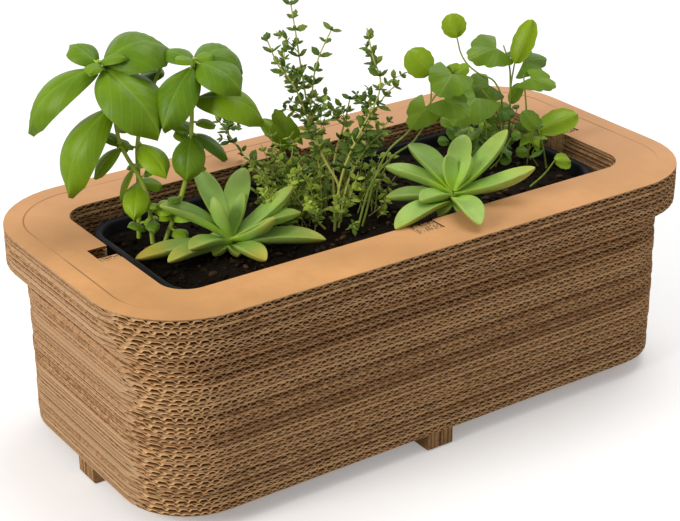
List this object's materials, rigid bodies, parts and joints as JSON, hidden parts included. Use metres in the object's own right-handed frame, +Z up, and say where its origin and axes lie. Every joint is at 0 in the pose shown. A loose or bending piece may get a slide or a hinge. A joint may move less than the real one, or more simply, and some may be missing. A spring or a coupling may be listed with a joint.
{
  "type": "indoor herb planter",
  "caption": "Oblong indoor planter of stacked corrugated board on small slat feet, with a lift-out black tub of soil, herbs and rosette succulents.",
  "frame": {"origin": "on the floor under the middle of the box, at the underside of the feet", "axes": "+X along the box's length, +Z up, -Y out of the long side that faces the viewer"},
  "size_m": [0.418, 0.2154, 0.2717],
  "materials": {
    "kraft_board": "raw corrugated kraft",
    "kraft_slat": "raw corrugated kraft",
    "black_plastic": "glossy",
    "potting_soil": "crumbly, matt",
    "basil_green": "soft leaf sheen",
    "thyme_green": "soft leaf sheen",
    "coriander_green": "soft leaf sheen",
    "succulent_green": "waxy"
  },
  "bodies": {
    "box": {"body_board_01": "kraft_board", "body_board_02": "kraft_board", "body_board_03": "kraft_board", "body_board_04": "kraft_board", "body_board_05": "kraft_board", "body_board_06": "kraft_board", "body_board_07": "kraft_board", "body_board_08": "kraft_board", "body_board_09": "kraft_board", "body_board_10": "kraft_board", "body_board_11": "kraft_board", "body_board_12": "kraft_board", "body_board_13": "kraft_board", "body_board_14": "kraft_board", "body_board_15": "kraft_board", "body_board_16": "kraft_board", "body_board_17": "kraft_board", "body_board_18": "kraft_board", "rim_board_1": "kraft_board", "rim_board_2": "kraft_board", "rim_board_3": "kraft_board", "rim_board_4": "kraft_board", "front_key": "kraft_slat", "back_key": "kraft_slat", "left_key": "kraft_slat", "right_key": "kraft_slat"},
    "planted_tub": {"tub": "black_plastic", "soil": "potting_soil", "basil": "basil_green", "thyme": "thyme_green", "coriander": "coriander_green", "left_succulent": "succulent_green", "right_succulent": "succulent_green"}
  },
  "joints": [
    {"name": "tub_lift", "type": "slide", "parent": "box", "child": "planted_tub", "axis": [0, 0, 1], "range_m": [0, 0.15]}
  ]
}
